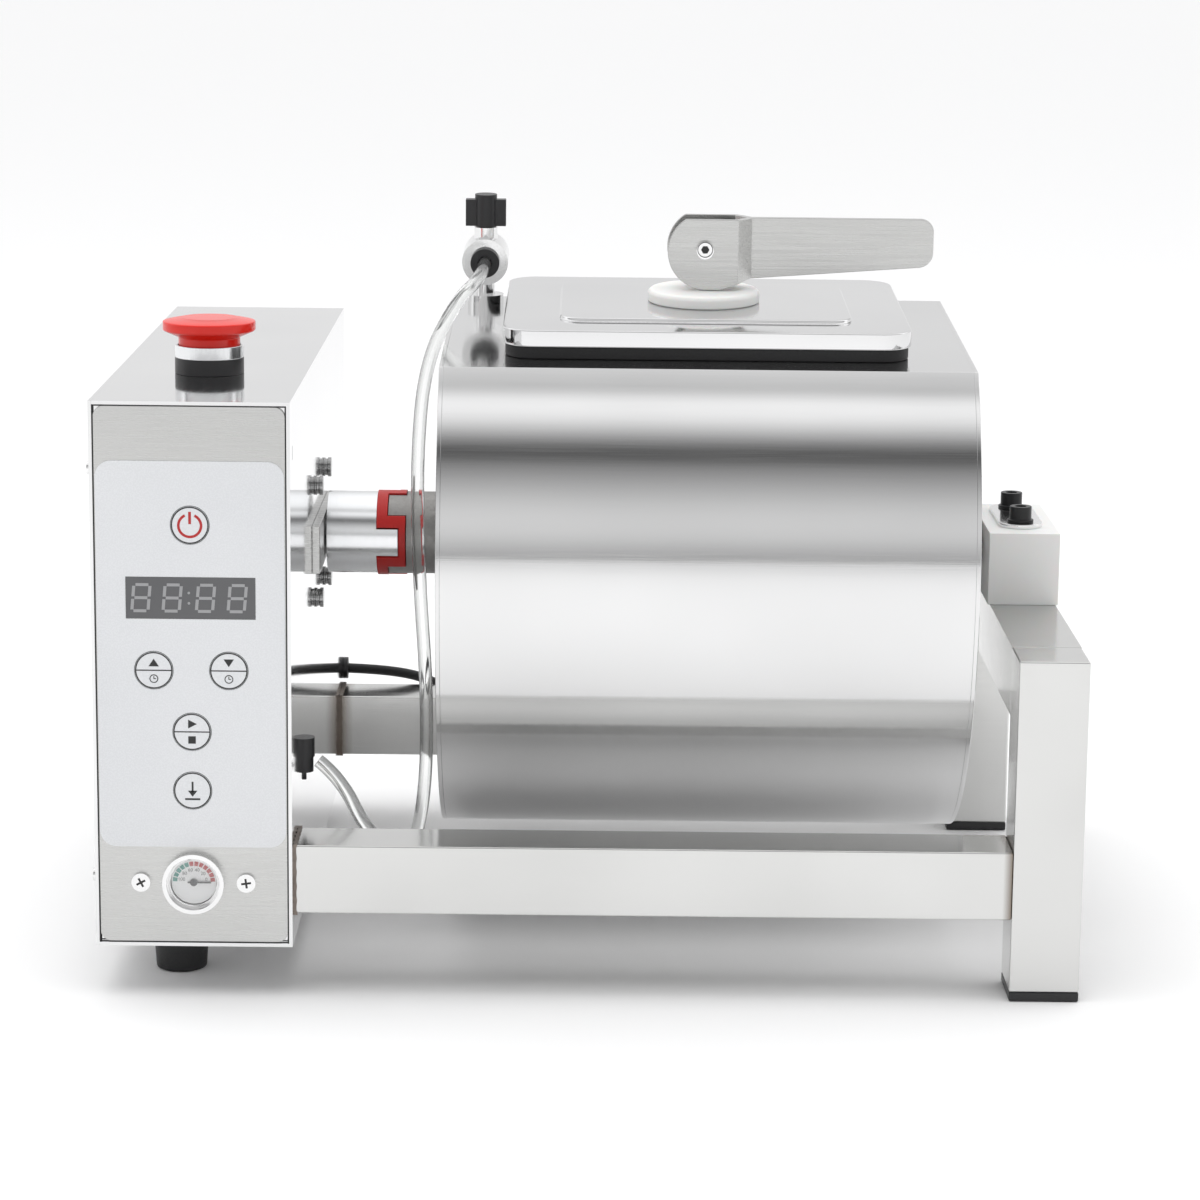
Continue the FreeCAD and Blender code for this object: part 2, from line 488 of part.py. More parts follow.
gasket = slab("MouthX", "AxisY", FLAT, "(LidLength - 2.4)", "(LidWidth - 2.4)", "GasketHigh", "(LidCorner - 1.2)")
gasket_bore = slab("MouthX", "AxisY", FLAT + " - 1", "(MouthLength + 2 * NeckLip + 1)",
                   "(MouthWidth + 2 * NeckLip + 1)", "20", "(MouthCorner + NeckLip + 0.5)")
rolled("lid_gasket", cut(gasket, gasket_bore))
rolled("drum_journal", fuse(rod(24, 4, DRUM_RIGHT, "AxisY", "AxisZ", "X"),
                            rod(11, "BlockLeft - 1 - %s" % par(DRUM_RIGHT), DRUM_RIGHT, "AxisY", "AxisZ", "X"),
                            rod("JournalRadius", "BlockLeft + BlockWidth - 2 - %s" % par(DRUM_RIGHT),
                                DRUM_RIGHT, "AxisY", "AxisZ", "X")))

# ======================================================================== lid
tray = fuse(slab("MouthX", "AxisY", LID_LOW, "LidLength", "LidWidth", "LidHigh", "LidCorner"),
            slab("MouthX", "AxisY", LID_TOP + " - LidGauge", "FieldLength", "FieldWidth",
                 "(LidGauge + PanelRise)", "10"))
tray_bore = slab("MouthX", "AxisY", LID_LOW + " + LidGauge", "(LidLength - 2 * LidGauge)",
                 "(LidWidth - 2 * LidGauge)", "(LidHigh - 2 * LidGauge)", "(LidCorner - LidGauge)")
field_bore = slab("MouthX", "AxisY", LID_LOW + " + LidGauge", "(FieldLength - 2 * LidGauge)",
                  "(FieldWidth - 2 * LidGauge)", "(LidHigh - 2 * LidGauge + PanelRise)", "(10 - LidGauge)")
hem_bore = slab("MouthX", "AxisY", LID_LOW + " - 1", "(LidLength - 2 * LidHem)", "(LidWidth - 2 * LidHem)", "3",
                "(LidCorner - 5)")
stud_hole = rod("StudRadius + FitGap", 60, "MouthX", "AxisY", FLAT + " - 20")
rolled("lid_tray", cut(tray, tray_bore, field_bore, hem_bore, stud_hole))
pad = fuse(rod("PadRadius", "PadHigh - 1.5", "MouthX", "AxisY", PAD_LOW),
           cone("PadRadius", "PadRadius - 1.5", 1.5, "MouthX", "AxisY", PAD_LOW + " + PadHigh - 1.5"))
rolled("lid_pad", cut(pad, rod("StudRadius + FitGap", 20, "MouthX", "AxisY", PAD_LOW + " - 5")))
seal_top = "(DrumFlat + GasketHigh + LidHigh + PanelRise - LidGauge - SealLow)"
seal = slab("MouthX", "AxisY", "AxisZ + SealLow", "(%s - 2 * SealClear)" % MOUTH_IN_L,
            "(%s - 2 * SealClear)" % MOUTH_IN_W, "(DrumFlat + GasketHigh - SealLow)", "9")
core = slab("MouthX", "AxisY", "AxisZ + SealLow", "(FieldLength - 2 * LidGauge - 2)",
            "(FieldWidth - 2 * LidGauge - 2)", seal_top, "7")
rolled("lid_seal", cut(fuse(seal, core), rod("StudRadius + FitGap", 60, "MouthX", "AxisY", FLAT + " - 20")))

# lever clamp: stud with pressure plate, lever and pin
stud = fuse(rod("StudRadius", "%s - 10 - AxisZ - SealLow + PlateThick + 6" % PIN_Z, "MouthX", "AxisY",
                "AxisZ + SealLow - PlateThick - 6"),
            box("MouthX - 6", "AxisY - 6.5", PIN_Z + " - 10", 12, 13, 18),
            slab("MouthX", "AxisY", "AxisZ + SealLow - PlateThick", "(MouthLength - 14)",
                 "(MouthWidth - 14)", "PlateThick", "8"),
            rod(7, 5, "MouthX", "AxisY", "AxisZ + SealLow - PlateThick - 5"))
pin_hole = rod("PinRadius", 40, "MouthX", "AxisY - 20", PIN_Z, "Y")
rolled("lid_stud", cut(stud, pin_hole))
rolled("lever_pin", fuse(rod("PinRadius", "2 * LeverOuter + 1", "MouthX", "AxisY - LeverOuter - 0.5", PIN_Z, "Y"),
                         rod(4, 2.4, "MouthX", "AxisY - LeverOuter - 0.2 - 2.4", PIN_Z, "Y"),
                         rod(4.2, 2.6, "MouthX", "AxisY + LeverOuter + 0.2", PIN_Z, "Y")))


def lever_shape():
    """The lever: the side outline and the folded plan, each extruded, in common."""
    px, pz = size["MouthX"], (size["AxisZ"] + size["DrumFlat"] + size["GasketHigh"] + size["LidHigh"]
                              + size["PanelRise"] + size["PadHigh"] + size["PinHigh"])
    py, half, sheet_t, thin = size["AxisY"], size["LeverOuter"], size["LeverGauge"], size["BladeHalf"]
    shift, radius, high, reach = size["CamShift"], size["CamRadius"], size["LeverHigh"], size["LeverReach"]
    left = shift - (radius ** 2 - (high + shift) ** 2) ** 0.5

    def side(x, z):
        return Vector(px + x, py - half - 5, pz + z)

    low = -shift - radius
    tip, slope = 6.0, 0.075
    outline = Part.Wire([
        Part.makeLine(side(reach - tip, high), side(left, high)),
        Part.Arc(side(left, high), side(shift - radius, -shift), side(shift, low)).toShape(),
        Part.makeLine(side(shift, low), side(7, low)),
        Part.makeLine(side(7, low), side(20, -high)),
        Part.makeLine(side(20, -high), side(reach - tip, -high + slope * (reach - tip - 20))),
        Part.Arc(side(reach - tip, -high + slope * (reach - tip - 20)),
                 side(reach - 0.29 * tip, -high + slope * (reach - 20) + 0.29 * tip),
                 side(reach, -high + slope * (reach - 20) + tip)).toShape(),
        Part.makeLine(side(reach, -high + slope * (reach - 20) + tip), side(reach, high - tip)),
        Part.Arc(side(reach, high - tip), side(reach - 0.29 * tip, high - 0.29 * tip),
                 side(reach - tip, high)).toShape(),
    ])
    profile = Part.Face(outline).extrude(Vector(0, 2 * half + 10, 0))
    bend = ((-radius - 4, half), (15, half), (21.5, thin), (reach + 2, thin), (reach + 2, -thin),
            (21.5, -thin), (15, -half), (-radius - 4, -half), (-radius - 4, -half + sheet_t),
            (14.1, -half + sheet_t), (19.4, 0), (14.1, half - sheet_t), (-radius - 4, half - sheet_t))
    corners = [Vector(px + x, py + y, pz - 30) for x, y in bend]
    plan = Part.Face(Part.makePolygon(corners + corners[:1])).extrude(Vector(0, 0, 60))
    hole = Part.makeCylinder(size["PinRadius"] + size["RunGap"], 4 * half,
                             Vector(px, py - 2 * half, pz), Vector(0, 1, 0))
    return profile.common(plan).cut(hole)


lever = doc.addObject("Part::Feature", "Lever")
lever.Shape = lever_shape()
rolled("lid_lever", lever)

# ====================================================================== valve
VALVE_Y, VALVE_Z = "(AxisY + ValveAcross)", "(AxisZ + ValveHigh)"
stem = rod(4.5, "ValveHigh - DrumFlat + 2", "ValveX", VALVE_Y, FLAT)
barrel = fuse(rod("ValveRadius", "ValveLength", "ValveX", VALVE_Y + " - ValveLength / 2", VALVE_Z, "Y"), stem,
              rod(8.5, 5, "ValveX", VALVE_Y, FLAT), rod(3, 20, "ValveX", VALVE_Y, FLAT + " - 12"),
              rod(5.5, 15, "ValveX", VALVE_Y, VALVE_Z))
bore = rod(5, 9, "ValveX", VALVE_Y + " - ValveLength / 2 - 1", VALVE_Z, "Y")
rolled("valve_body", cut(barrel, bore, rod(1.5, "ValveHigh - DrumFlat + 20", "ValveX", VALVE_Y, FLAT + " - 20"),
                         rod("3 + RunGap", 9, "ValveX", VALVE_Y, VALVE_Z + " + 8.7")))
rolled("hose_collet", cut(fuse(rod(4.9, 9, "ValveX", VALVE_Y + " - ValveLength / 2 - 1", VALVE_Z, "Y"),
                               rod(6.8, 4, "ValveX", VALVE_Y + " - ValveLength / 2 - 4", VALVE_Z, "Y")),
                          rod("HoseRadius + 0.15", 30, "ValveX", VALVE_Y + " - ValveLength / 2 - 9", VALVE_Z,
                              "Y")))
rolled("valve_handle", fuse(rod(5.2, "ValveTop - ValveHigh - 15.3", "ValveX", VALVE_Y, VALVE_Z + " + 15.3"),
                            rod(3, 8, "ValveX", VALVE_Y, VALVE_Z + " + 9"),
                            box("ValveX - 9.5", VALVE_Y + " - 2.6", VALVE_Z + " + 15.6", 19, 5.2,
                                "ValveTop - ValveHigh - 18")))

# =============================================================== bearing frame
def tube(x0, x1, y0, y1, z0, z1, open_axis):
    """Square tube with its bore along one axis."""
    outer = span(x0, x1, y0, y1, z0, z1)
    ends = {"X": (x0 + " - 1", x1 + " + 1", y0 + " + Gauge", y1 + " - Gauge", z0 + " + Gauge", z1 + " - Gauge"),
            "Y": (x0 + " + Gauge", x1 + " - Gauge", y0 + " - 1", y1 + " + 1", z0 + " + Gauge", z1 + " - Gauge"),
            "Z": (x0 + " + Gauge", x1 + " - Gauge", y0 + " + Gauge", y1 + " - Gauge", z0 + " - 1",
                  z1 + " - Gauge")}[open_axis]
    return outer, span(*ends)


POST_R = "PostX + TubeSize"
RAIL_LOW = "RailTop - TubeSize"
front_y, back_y = ("FrameFront", "FrameFront + TubeSize"), ("FrameBack - TubeSize", "FrameBack")
for name, ys in (("front_rail", front_y), ("rear_rail", back_y)):
    node(name, cut(*tube(WALL_X, "PostX", ys[0], ys[1], RAIL_LOW, "RailTop", "X")))
for name, ys in (("front_post", front_y), ("rear_post", back_y)):
    node(name, cut(*tube("PostX", POST_R, ys[0], ys[1], "CapHigh", "PostTop", "Z")))
screw_y = ["AxisY %s BearScrewGap / 2" % sign for sign in "-+"]
BLOCK_MID = "(BlockLeft + BlockWidth / 2)"
beam_outer, beam_bore = tube("PostX", POST_R, front_y[1], back_y[0], "PostTop - TubeSize", "PostTop", "Y")
node("top_beam", cut(beam_outer, beam_bore, *[rod(3.3, 9, BLOCK_MID, y, "PostTop - 5") for y in screw_y]))
caps = []
for ys in (front_y, back_y):
    caps.append(fuse(span("PostX", POST_R, ys[0], ys[1], "0", "CapHigh"),
                     span("PostX + Gauge + 0.2", POST_R + " - Gauge - 0.2", ys[0] + " + Gauge + 0.2",
                          ys[1] + " - Gauge - 0.2", "CapHigh - 1", "CapHigh + 7")))
node("post_end_caps", *caps)

block = span("BlockLeft", "BlockLeft + BlockWidth", "AxisY - BlockDepth / 2", "AxisY + BlockDepth / 2",
             "PostTop", BLOCK_TOP)
bore = rod("JournalRadius + RunGap", "BlockWidth + 2", "BlockLeft - 1", "AxisY", "AxisZ", "X")
node("bearing_block", cut(block, bore, *[rod(3.3, 60, BLOCK_MID, y, "PostTop - 5") for y in screw_y]))
strap = slab(BLOCK_MID, "AxisY", BLOCK_TOP, "20", "(BearScrewGap + 20)", "StrapThick", "9.9")
node("bearing_strap", cut(strap, *[rod(3.3, 9, BLOCK_MID, y, BLOCK_TOP + " - 1") for y in screw_y]))
set_screws = []
for y in screw_y:
    top = BLOCK_TOP + " + StrapThick"
    set_screws.append(cut(fuse(rod(6, 1.2, BLOCK_MID, y, top), rod(5, 7.2, BLOCK_MID, y, top),
                               rod(3, "BlockHigh + StrapThick + 10", BLOCK_MID, y, "PostTop - 10")),
                          rod(2.6, 4, BLOCK_MID, y, top + " + 3.4")))
node("bearing_screws", *set_screws)

# ================================================================ feet and air
node("rubber_feet", *[cone("FootRadius - 1.5", "FootRadius", "BoxBottom", "FootX", y, "0") for y in foot_y])
pump_x, pump_y = "(BoxLeft + 40)", "(BoxFront + 62)"
node("vacuum_pump", fuse(box(pump_x + " - 18", pump_y + " - 18", "BoxBottom + Gauge", 36, 36, 34),
                         rod(14, 74, pump_x, pump_y, "BoxBottom + Gauge")))
port = common(fuse(rod(4.2, 15.4, WALL_X, HOSE_Y, HOSE_Z + " - 7.7"),
                   rod(4.8, 8.6, WALL_X, HOSE_Y, HOSE_Z + " - 0.9"),
                   rod(1.1, 12, WALL_X, HOSE_Y, HOSE_Z + " - 11.5")),
              box(WALL_X, HOSE_Y + " - 20", HOSE_Z + " - 20", 20, 40, 40))
node("hose_port", fuse(port, rod(2, 12, WALL_X + " - 9", HOSE_Y, HOSE_Z, "X")))


# ============================================================ hose and mains cord
def bent_tube(label, points, radius):
    """Round tube along straight runs joined by tangent arcs; its volume is checked."""
    points = [Vector(*p) for p in points]
    edges, start = [], points[0]
    for before, here, after in zip(points, points[1:], points[2:]):
        run_in, run_out = here - before, after - here
        half_turn = run_in.getAngle(run_out) / 2
        reach = 0.45 * min(run_in.Length, run_out.Length)
        a = here - run_in.normalize() * reach
        b = here + run_out.normalize() * reach
        middle = (a + b) * 0.5
        sagitta = reach / tan(half_turn) * (1 / cos(half_turn) - 1)
        top = here + (middle - here).normalize() * sagitta
        edges += [Part.makeLine(start, a), Part.Arc(a, top, b).toShape()]
        print("%s bend radius %.1f" % (label, reach / tan(half_turn)))
        start = b
    edges.append(Part.makeLine(start, points[-1]))
    path = Part.Wire(edges)
    ring = Part.Wire(Part.makeCircle(radius, points[0], points[1] - points[0]))
    solid = path.makePipeShell([ring], True, True)
    share = solid.Volume / (pi * radius ** 2 * path.Length)
    print("%s length %.0f, volume share %.3f" % (label, path.Length, share))
    if abs(share - 1) > 0.02:
        raise RuntimeError(label + " is pinched")
    obj = doc.addObject("Part::Feature", label)
    obj.Shape = solid
    return node(label, obj)


tilt = radians(size["DrumTilt"])


def on_drum(x, across, high):
    """A point given in the drum's own frame."""
    return (x, size["AxisY"] + across * cos(tilt) - high * sin(tilt),
            size["AxisZ"] + high * cos(tilt) + across * sin(tilt))


inlet = size["ValveAcross"] - size["ValveLength"] / 2
bent_tube("vacuum_hose", [
    on_drum(size["ValveX"], inlet + 3, size["ValveHigh"]),
    on_drum(size["ValveX"], inlet - 43, size["ValveHigh"]),
    (-62, -22, 285), (-76, -40, 258), (-79.5, -46, 213), (-78, -50, 160), (-74, -58, 112),
    (-74, -67, 66), (-80, -86, 40), (-98, -98, 54), (-110, -98.5, 80), (-120.1, -98, 88),
], size["HoseRadius"])

node("cord_bushing", cut(fuse(rod(5.5, 2.5, WALL_X, CORD_Y, CORD_Z, "X"),
                              rod(4, "Gauge + 5", WALL_X + " - Gauge - 3", CORD_Y, CORD_Z, "X"),
                              rod(5.5, 2, WALL_X + " - Gauge - 2", CORD_Y, CORD_Z, "X")),
                         rod("CordRadius + 0.15", 30, WALL_X + " - 15", CORD_Y, CORD_Z, "X")))
wall_x = size["BoxLeft"] + size["BoxWidth"]
cord_y = size["BoxFront"] + size["BoxDepth"] - 9
cord_z = size["RailTop"] + 7.5
low = size["CordRadius"]
coil_x, coil_y = size["CoilX"], size["CoilY"]
bent_tube("mains_cord", [
    (wall_x - 12, cord_y, cord_z), (wall_x + 22, cord_y, cord_z), (wall_x + 50, cord_y + 4, cord_z - 8),
    (wall_x + 74, cord_y + 11, 42), (wall_x + 92, cord_y + 23, 16), (wall_x + 118, cord_y + 38, low),
    (coil_x - 42, coil_y - 43, low),
    (coil_x + 1, coil_y - size["CoilRadius"] - size["CoilThick"] - low - 0.3, size["CoilThick"]),
], size["CordRadius"])
coil = doc.addObject("Part::Torus", "Coil")
coil.setExpression("Radius1", on_sheet("CoilRadius"))
coil.setExpression("Radius2", on_sheet("CoilThick"))
put(coil, "CoilX", "CoilY", "CoilThick + TieThick")
tie = span("CoilX - 4", "CoilX + 4", "CoilY + CoilRadius - CoilThick - 1", "CoilY + CoilRadius + CoilThick + 1",
           "0", "2 * (CoilThick + TieThick)")
node("cord_coil", fuse(coil, tie))
PLUG_X = "(CoilX + CoilRadius + CoilThick + 14)"
plug = fuse(box(PLUG_X, "CoilY - 13", "0", 34, 26, 18),
            rod(4, 13.7, PLUG_X + " - 13.7", "CoilY", "CoilThick", "X"),
            *[rod(2.4, 19, PLUG_X + " + 34", "CoilY %s 9.5" % sign, 9, "X") for sign in "-+"])
node("mains_plug", plug)

# ================================================================ check, export
doc.recompute()
for obj in doc.Objects:
    if "Invalid" in obj.State or "Error" in obj.State:
        raise RuntimeError("%s failed: %s" % (obj.Label, obj.State))
for label, obj in NODES.items():
    if obj.Shape.isNull() or not obj.Shape.isValid() or not obj.Shape.Solids:
        raise RuntimeError(label + " is not a valid solid")
os.makedirs("parts", exist_ok=True)
for label, obj in NODES.items():
    obj.Shape.exportStep("parts/%s.step" % label)
print("%d nodes written" % len(NODES))
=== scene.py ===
# %% [markdown]
# # A small vacuum tumbler for meat
# The CAD model comes in as a fixed frame. This lesson dresses it: a camera, the two cords, a plain
# studio, then one cell for each group of pieces, from the steel sheets to the marks on the keys.

# %% Load the frame
import json
import bmesh
import bpy
from math import cos, pi, radians, sin
from mathutils import Matrix, Vector


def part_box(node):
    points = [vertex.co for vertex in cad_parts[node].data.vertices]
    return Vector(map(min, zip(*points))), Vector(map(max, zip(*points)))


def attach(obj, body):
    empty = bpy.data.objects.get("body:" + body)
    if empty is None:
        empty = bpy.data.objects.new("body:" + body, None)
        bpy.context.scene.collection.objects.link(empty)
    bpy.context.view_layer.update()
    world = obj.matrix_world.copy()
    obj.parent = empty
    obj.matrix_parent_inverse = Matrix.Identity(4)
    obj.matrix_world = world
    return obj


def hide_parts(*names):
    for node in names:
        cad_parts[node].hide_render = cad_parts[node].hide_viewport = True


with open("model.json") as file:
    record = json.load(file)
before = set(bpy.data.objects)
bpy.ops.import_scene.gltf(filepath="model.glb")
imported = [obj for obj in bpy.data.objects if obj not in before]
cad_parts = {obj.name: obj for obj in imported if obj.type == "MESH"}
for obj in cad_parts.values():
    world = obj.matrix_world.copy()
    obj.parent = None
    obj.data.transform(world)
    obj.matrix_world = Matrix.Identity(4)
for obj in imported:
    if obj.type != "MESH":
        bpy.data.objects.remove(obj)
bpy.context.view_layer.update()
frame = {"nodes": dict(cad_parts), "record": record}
nodes = frame["nodes"]
body_of = {n: b for b, members in frame["record"]["behaviour"]["bodies"].items() for n in members}
slot_of = {s["node"]: s["material_slot"] for s in frame["record"]["subparts"]}
scene = bpy.context.scene
MM = 0.001
TILT = radians(3)
AXIS_Y, AXIS_Z, MOUTH_X = 1, 173, 49.5

# %% [markdown]
# The drum is parked with its flat side rolled three degrees to the front, so pieces on it are
# placed in its own directions: along the axis, across it, and outwards through the flat.

# %% Places on the drum
def on_drum(along, across, outward):
    """A point given in the drum's own directions, in millimetres, as a place in metres."""
    return Vector((along, AXIS_Y + across * cos(TILT) - outward * sin(TILT),
                   AXIS_Z + outward * cos(TILT) + across * sin(TILT))) * MM


print("mouth", [round(v, 4) for v in on_drum(MOUTH_X, 0, 95.5)])

# %% [markdown]
# A long lens from a low place in front keeps the edges of the box nearly straight, as in a
# catalogue picture.

# %% Camera
lens = bpy.data.cameras.new("catalogue_camera")
camera = bpy.data.objects.new("catalogue_camera", lens)
scene.collection.objects.link(camera)
scene.camera = camera
right = Vector((0.9999385, -0.0008912, 0.0110558))
up = Vector((-0.0106636, 0.1969849, 0.9803485))
turn = Matrix((right, up, right.cross(up))).transposed().to_4x4()
camera.matrix_world = Matrix.Translation(Vector((-1.4, -1665.4, 476.6)) * MM) @ turn
lens.sensor_width, lens.lens = 36, 109.487
lens.clip_start, lens.clip_end = 0.05, 200
print("camera at", [round(v, 3) for v in camera.location])

# %% [markdown]
# A cord could be swept by hand as rings of faces, but a curve keeps it round and smooth with a dozen
# points, so each of the two is one spline. The clear vacuum hose leaves the valve, hangs beside the
# drum, turns up again behind the front rail and goes to its port on the box. The mains lead leaves
# the box beside the rear rail, drops to the table and is wound up behind the drum.

# %% Cords
def cord_curve(name, points, diameter):
    """A smooth round tube along the given points, in millimetres."""
    curve = bpy.data.curves.new(name, "CURVE")
    curve.dimensions = "3D"
    curve.bevel_depth = 1
    curve.bevel_resolution = 5
    curve.resolution_u = curve.render_resolution_u = 8
    curve.use_fill_caps = True
    spline = curve.splines.new("NURBS")
    spline.points.add(len(points) - 1)
    for point, place in zip(spline.points, points):
        point.co = (*(Vector(place) * MM), 1)
        point.radius = diameter / 2 * MM
    spline.order_u = 3
    spline.use_endpoint_u = True
    piece = bpy.data.objects.new(name, curve)
    scene.collection.objects.link(piece)
    return piece


def run_of(points):
    """Length in metres of the smooth line that the points guide."""
    line, steps = 0, 24
    between_guides = [[(a + b) / 2 for a, b in zip(p, q)] for p, q in zip(points[1:-1], points[2:-1])]
    mids = [points[0]] + between_guides + [points[-1]]
    for k, guide in enumerate(points[1:-1]):
        a, b, c = Vector(mids[k]), Vector(guide), Vector(mids[k + 1])
        shares = [i / steps for i in range(steps + 1)]
        trail = [a * (1 - t) ** 2 + b * 2 * t * (1 - t) + c * t * t for t in shares]
        line += sum((q - p).length for p, q in zip(trail, trail[1:]))
    return line * MM


hose_route = [tuple(on_drum(-52, 60, 117.5) / MM), tuple(on_drum(-52, 14, 117.5) / MM),
              (-62, -22, 285), (-76, -40, 258), (-79.5, -46, 213), (-78, -50, 160), (-74, -58, 112),
              (-74, -67, 66), (-80, -86, 40), (-98, -98, 54), (-110, -98.5, 80), (-120.1, -98, 88)]
vacuum_line = cord_curve("clear_vacuum_hose", hose_route, 6)
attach(vacuum_line, "machine")
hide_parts("vacuum_hose")
run_of(hose_route)
print("hose length", round(run_of(hose_route), 3))

# %% [markdown]
# The coil is seven turns that lie in a tight bundle, two on the table, three over them and two on
# top. Near the end of each turn the lead steps to the next place in the bundle.

# %% Mains lead with its coil
lead_route = [(-138.5, 158.5, 73.5), (-104.5, 158.5, 73.5), (-76.5, 162.5, 65.5), (-52.5, 169.5, 42),
              (-34.5, 181.5, 16), (-8.5, 196.5, 2.5), (20, 193, 2.5), (44, 196.6, 3.4)]
bundle = [(5, 6.8), (2.5, 2.5), (-2.5, 2.5), (-5, 6.8), (0, 6.8), (-2.5, 11.2), (2.5, 11.2)]
per_turn, coil_middle, coil_radius = 16, (62, 236), 27.7
coil_route = []
for step in range(per_turn * len(bundle) - 2):
    turn_now, angle = step // per_turn, 2 * pi * step / per_turn
    share = max(0, step % per_turn - (per_turn - 2)) / 2 if turn_now + 1 < len(bundle) else 0
    here = bundle[turn_now]
    after = bundle[min(turn_now + 1, len(bundle) - 1)]
    offset = here[0] + (after[0] - here[0]) * share
    high = here[1] + (after[1] - here[1]) * share
    reach = (coil_radius + offset) / cos(pi / per_turn) ** 0.5
    coil_route.append((coil_middle[0] + reach * sin(angle), coil_middle[1] - reach * cos(angle), high))
mains_lead = cord_curve("mains_lead", lead_route + coil_route[1:], 5)
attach(mains_lead, "machine")
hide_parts("mains_cord", "cord_coil")
run_of(lead_route + coil_route[1:])
print("lead length", round(run_of(lead_route + coil_route[1:]), 2))

# %% [markdown]
# The studio is a white floor and a soft sky. Polished steel shows its surroundings, so the sky is
# brighter overhead and has one dimmer band in front, where a real studio has its dark gap between
# the top light and the front screen. That gap draws the grey stripe along the drum.

# %% Sky
def linked(tree, start, end):
    tree.links.new(start, end)


world = bpy.data.worlds.new("soft_studio")
scene.world = world
world.use_nodes = True
sky = world.node_tree
sky.nodes.clear()
where = sky.nodes.new("ShaderNodeTexCoord")
split = sky.nodes.new("ShaderNodeSeparateXYZ")
angle = sky.nodes.new("ShaderNodeMath")
angle.operation = "ARCTAN2"
share_of_arch = sky.nodes.new("ShaderNodeMath")
share_of_arch.operation = "DIVIDE"
share_of_arch.inputs[1].default_value = pi
arch = sky.nodes.new("ShaderNodeValToRGB")
light_out = sky.nodes.new("ShaderNodeBackground")
world_out = sky.nodes.new("ShaderNodeOutputWorld")
linked(sky, where.outputs["Generated"], split.inputs[0])
linked(sky, split.outputs["Z"], angle.inputs[0])
linked(sky, split.outputs["Y"], angle.inputs[1])
linked(sky, angle.outputs[0], share_of_arch.inputs[0])
linked(sky, share_of_arch.outputs[0], arch.inputs[0])
linked(sky, arch.outputs[0], light_out.inputs["Color"])
linked(sky, light_out.outputs[0], world_out.inputs[0])
stops = [(0.0, 0.70), (0.1, 0.64), (0.3, 0.95), (0.54, 0.90), (0.61, 0.52), (0.65, 0.88), (0.70, 0.66),
         (0.755, 0.13), (0.80, 0.24), (0.87, 0.52), (0.94, 0.60), (1.0, 0.34)]
ramp = arch.color_ramp
ramp.interpolation = "CARDINAL"
while len(ramp.elements) < len(stops):
    ramp.elements.new(0.5)
for element, (place, tone) in zip(ramp.elements, stops):
    element.position = place
    element.color = (tone, tone, tone * 1.005, 1)
light_out.inputs["Strength"].default_value = 1.3
scene.view_settings.view_transform = "Standard"
print("sky stops", len(stops))

# %% Floor
floor_mesh = bmesh.new()
bmesh.ops.create_grid(floor_mesh, x_segments=2, y_segments=2, size=30)
floor_data = bpy.data.meshes.new("studio_floor")
floor_mesh.to_mesh(floor_data)
floor_mesh.free()
floor = bpy.data.objects.new("studio_floor", floor_data)
floor.location.z = -0.0003
scene.collection.objects.link(floor)
paper = bpy.data.materials.new("studio_paper")
paper.use_nodes = True
paper.node_tree.nodes["Principled BSDF"].inputs["Base Color"].default_value = (0.97, 0.97, 0.97, 1)
paper.node_tree.nodes["Principled BSDF"].inputs["Roughness"].default_value = 0.9
floor_data.materials.append(paper)
print("floor", floor.name)

# %% Lamp
lamp_data = bpy.data.lights.new("top_softbox", "AREA")
lamp_data.shape, lamp_data.size, lamp_data.energy = "DISK", 2.5, 24
lamp = bpy.data.objects.new("top_softbox", lamp_data)
lamp.location = (-0.3, -0.5, 2.6)
lamp.rotation_euler = (radians(11), radians(-6), 0)
lamp.visible_glossy = False
scene.collection.objects.link(lamp)
print("lamp watts", lamp_data.energy)

# %% [markdown]
# Sheet steel, plated steel, cast metal, rubber and plastic all have a fine grain that changes the
# sharpness of their reflections. One node group makes it for all of them: a noise stretched along
# the rolling direction, and a broad soft mottling from handling. Each finish sets its own stretch.

# %% Grain group
grain = bpy.data.node_groups.new("grain_and_mottling", "ShaderNodeTree")
grain.interface.new_socket(name="Stretch", in_out="INPUT", socket_type="NodeSocketVector")
grain.interface.new_socket(name="Patches", in_out="INPUT", socket_type="NodeSocketFloat")
grain.interface.new_socket(name="Grain", in_out="OUTPUT", socket_type="NodeSocketFloat")
grain.interface.new_socket(name="Mottling", in_out="OUTPUT", socket_type="NodeSocketFloat")
entry, leave = grain.nodes.new("NodeGroupInput"), grain.nodes.new("NodeGroupOutput")
place = grain.nodes.new("ShaderNodeTexCoord")
spread = grain.nodes.new("ShaderNodeVectorMath")
spread.operation = "MULTIPLY"
fine, broad = grain.nodes.new("ShaderNodeTexNoise"), grain.nodes.new("ShaderNodeTexNoise")
fine.inputs["Scale"].default_value, fine.inputs["Detail"].default_value = 1.0, 3
broad.inputs["Detail"].default_value = 2
linked(grain, place.outputs["Object"], spread.inputs[0])
linked(grain, entry.outputs["Stretch"], spread.inputs[1])
linked(grain, spread.outputs[0], fine.inputs["Vector"])
linked(grain, place.outputs["Object"], broad.inputs["Vector"])
linked(grain, entry.outputs["Patches"], broad.inputs["Scale"])
linked(grain, fine.outputs[0], leave.inputs["Grain"])
linked(grain, broad.outputs[0], leave.inputs["Mottling"])
print("group", grain.name)


# %% [markdown]
# A finish is a colour that drifts between a dark and a light value, and a roughness that follows the
# grain. Polished, satin, drum and tube steel differ only in those numbers, so one function makes
# them all and a table lists them. The gauge's lens is a thin pane with a low alpha, because a flat
# pane hardly bends light. The hose is a round tube that does, so it keeps true transmission.

